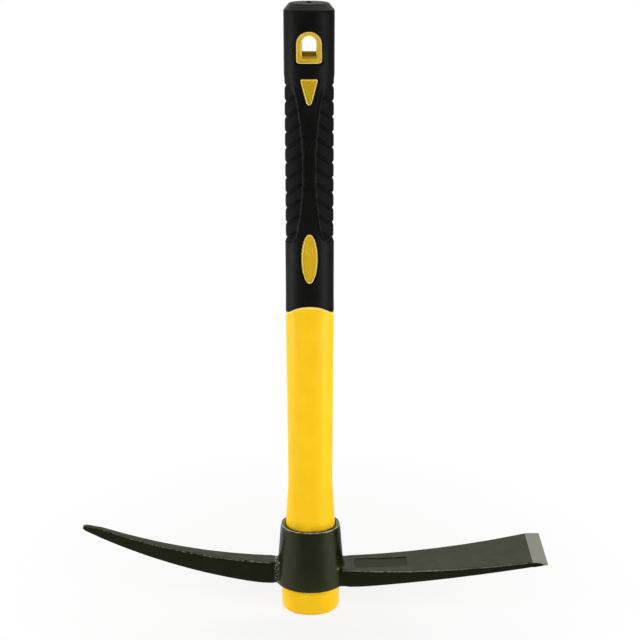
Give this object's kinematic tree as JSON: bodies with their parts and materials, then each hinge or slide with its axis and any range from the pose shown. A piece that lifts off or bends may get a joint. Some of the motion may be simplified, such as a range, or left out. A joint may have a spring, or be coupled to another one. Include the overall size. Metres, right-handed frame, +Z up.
{
  "type": "pick mattock",
  "caption": "Short pick mattock: forged head with a curved pick tine and a flared adze blade on an oval composite handle with a rubber grip and a hang hole.",
  "frame": {"origin": "middle of the handle's flat butt", "axes": "+Z up the handle, from the butt to the grip; +X along the adze blade, with the tine towards -X; -Y is the front, which the picture shows"},
  "size_m": [0.29, 0.04, 0.3808],
  "materials": {
    "forged_head": "satin olive-black paint over a forged surface",
    "jacket_yellow": "smooth satin moulded polymer",
    "grip_rubber": "matt moulded rubber",
    "glass_rod": "cut end of a resin-bonded glass rod"
  },
  "bodies": {
    "handle": {"fibreglass_core": "glass_rod", "handle_jacket": "jacket_yellow", "grip": "grip_rubber"},
    "head": {"head": "forged_head"}
  },
  "joints": [
    {"name": "head_slide", "type": "slide", "parent": "handle", "child": "head", "axis": [0, 0, 1], "range_m": [0, 0.37]}
  ]
}
